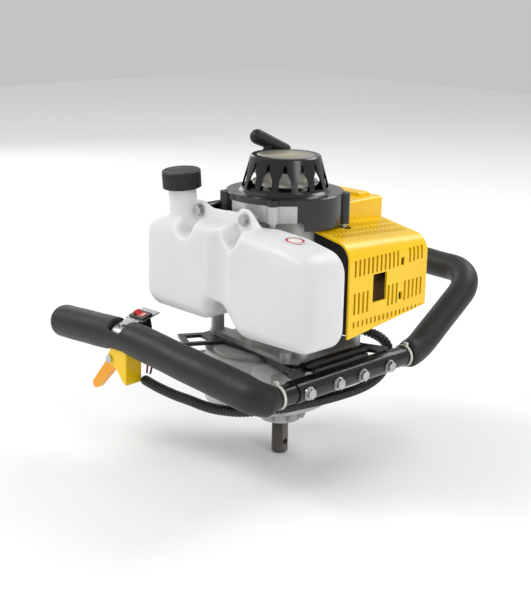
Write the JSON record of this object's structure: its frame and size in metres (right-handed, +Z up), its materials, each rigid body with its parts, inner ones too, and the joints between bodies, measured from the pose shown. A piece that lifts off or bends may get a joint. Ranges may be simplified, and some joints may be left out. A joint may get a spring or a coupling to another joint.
{
  "type": "ice fishing auger",
  "caption": "Petrol power head of an ice fishing auger: upright engine with recoil starter and white tank over a gearbox, black frame with two foam-covered bars, trigger and drive shaft.",
  "frame": {"origin": "centre of the free tip of the output shaft", "axes": "+Z up the output shaft and crankshaft, +Y along the engine cylinder and front sleeve, +X from the operator towards the sleeve"},
  "size_m": [0.3967, 0.4456, 0.3883],
  "materials": {
    "shaft_steel": "phosphated dark grey",
    "gear_steel": "machined",
    "cast_aluminium": "die cast",
    "frame_black": "gloss powder coat",
    "foam_black": "closed-cell foam",
    "zinc_steel": "zinc plated",
    "nylon_white": "nylon",
    "yellow_plastic": "moulded",
    "trigger_yellow": "moulded",
    "black_gloss": "moulded",
    "black_matte": "moulded",
    "red_plastic": "moulded",
    "rubber_black": "rubber",
    "cable_black": "corrugated conduit",
    "lead_insulation": "insulated leads",
    "fuel_hose": "fuel hose",
    "tank_white": "translucent blow-moulded",
    "muffler_steel": "heat tinted",
    "filter_foam": "open foam",
    "rope_fibre": "braided"
  },
  "bodies": {
    "frame": {"gearbox_lower_case": "cast_aluminium", "gearbox_upper_case": "cast_aluminium", "gear_support_plate": "cast_aluminium", "shaft_bearings": "gear_steel", "output_seal": "rubber_black", "mounting_plate": "frame_black", "front_sleeve": "frame_black", "left_handlebar": "frame_black", "right_handlebar": "frame_black", "left_foam_grip": "foam_black", "right_foam_grip": "foam_black", "handle_bolts": "zinc_steel", "zip_ties": "nylon_white", "throttle_housing": "yellow_plastic", "switch_bracket": "zinc_steel", "switch_body": "black_gloss", "cable_conduit": "cable_black", "wiring": "lead_insulation", "fuel_line": "fuel_hose", "clutch_housing": "cast_aluminium", "crankcase_lower": "cast_aluminium", "crankcase_upper": "cast_aluminium", "cylinder": "cast_aluminium", "spark_plug": "zinc_steel", "ignition_coil": "black_matte", "fan_housing": "black_gloss", "recoil_cover": "black_gloss", "fuel_tank": "tank_white", "tank_bolts": "zinc_steel", "engine_cover": "yellow_plastic", "cylinder_shroud": "black_matte", "muffler": "muffler_steel", "carburetor": "cast_aluminium", "air_filter_base": "black_matte", "air_filter_element": "filter_foam", "air_filter_cover": "black_matte", "machine_screws": "zinc_steel"},
    "output": {"output_shaft": "shaft_steel", "output_gear": "gear_steel"},
    "idler": {"idler_shaft": "gear_steel", "idler_wheel": "gear_steel"},
    "pinion": {"drive_pinion": "gear_steel", "clutch_drum": "gear_steel"},
    "crank": {"crankshaft": "gear_steel", "flywheel": "cast_aluminium", "clutch_shoes": "gear_steel", "starter_cup": "zinc_steel"},
    "piston_and_rod": {"piston": "cast_aluminium", "connecting_rod": "gear_steel"},
    "reel": {"recoil_reel": "nylon_white", "recoil_spring": "gear_steel"},
    "handle": {"starter_handle": "black_matte", "starter_rope": "rope_fibre"},
    "trigger": {"throttle_trigger": "trigger_yellow"},
    "carb_lever": {"throttle_lever": "zinc_steel"},
    "rocker": {"switch_rocker": "red_plastic"},
    "gasket": {"cap_gasket": "rubber_black"},
    "cap": {"fuel_cap": "black_matte"},
    "choke": {"choke_lever": "black_matte"},
    "primer": {"primer_bulb": "rubber_black"}
  },
  "joints": [
    {"name": "output_spin", "type": "hinge", "parent": "frame", "child": "output", "pos_m": [0, 0, 0.06], "axis": [0, 0, 1], "continuous": true},
    {"name": "idler_spin", "type": "hinge", "parent": "frame", "child": "idler", "pos_m": [-0.0465, 0, 0.09], "axis": [0, 0, 1], "continuous": true},
    {"name": "pinion_spin", "type": "hinge", "parent": "frame", "child": "pinion", "pos_m": [0, 0, 0.12], "axis": [0, 0, 1], "continuous": true},
    {"name": "crank_spin", "type": "hinge", "parent": "frame", "child": "crank", "pos_m": [0, 0, 0.208], "axis": [0, 0, 1], "continuous": true},
    {"name": "piston_stroke", "type": "slide", "parent": "frame", "child": "piston_and_rod", "axis": [0, 1, 0], "range_m": [-0.032, 0]},
    {"name": "starter_pull", "type": "slide", "parent": "frame", "child": "handle", "axis": [0.0899, 0.4494, 0.8888], "range_m": [0, 0.6], "stiffness_N_per_m": 20, "springref_m": -0.1},
    {"name": "reel_spin", "type": "hinge", "parent": "frame", "child": "reel", "pos_m": [0, 0, 0.34], "axis": [0, 0, -1], "range_deg": [0, 1060]},
    {"name": "trigger_squeeze", "type": "hinge", "parent": "frame", "child": "trigger", "pos_m": [-0.14106, -0.13815, 0.11821], "axis": [-0.0706, 0.9975, 0], "range_deg": [0, 28], "stiffness_Nm_per_rad": 0.2, "springref_deg": -11.46},
    {"name": "carb_throttle", "type": "hinge", "parent": "frame", "child": "carb_lever", "pos_m": [-0.074, 0.076, 0.22], "axis": [0, 0, -1], "range_deg": [0, 75]},
    {"name": "switch_rock", "type": "hinge", "parent": "frame", "child": "rocker", "pos_m": [-0.13192, -0.10943, 0.16495], "axis": [0.064, -0.9761, -0.2079], "range_deg": [0, 14]},
    {"name": "cap_lift", "type": "slide", "parent": "frame", "child": "gasket", "axis": [0, -0.0872, 0.9962], "range_m": [0, 0.0046]},
    {"name": "cap_turn", "type": "hinge", "parent": "gasket", "child": "cap", "pos_m": [-0.082, -0.08767, 0.34275], "axis": [0, -0.0872, 0.9962], "range_deg": [0, 540]},
    {"name": "choke_turn", "type": "hinge", "parent": "frame", "child": "choke", "pos_m": [-0.13, 0.047, 0.234], "axis": [1, 0, 0], "range_deg": [0, 70]},
    {"name": "primer_press", "type": "slide", "parent": "frame", "child": "primer", "axis": [0, 0, 1], "range_m": [0, 0.0035], "stiffness_N_per_m": 400, "springref_m": -0.0005}
  ],
  "couplings": [
    {"joint": "idler_spin", "follows": "output_spin", "ratio": -4.6364},
    {"joint": "pinion_spin", "follows": "output_spin", "ratio": 34.562},
    {"joint": "reel_spin", "follows": "starter_pull", "rad_per_m": 30.77},
    {"joint": "carb_throttle", "follows": "trigger_squeeze", "ratio": 2.6},
    {"joint": "cap_lift", "follows": "cap_turn", "m_per_rad": 0.00047746}
  ]
}
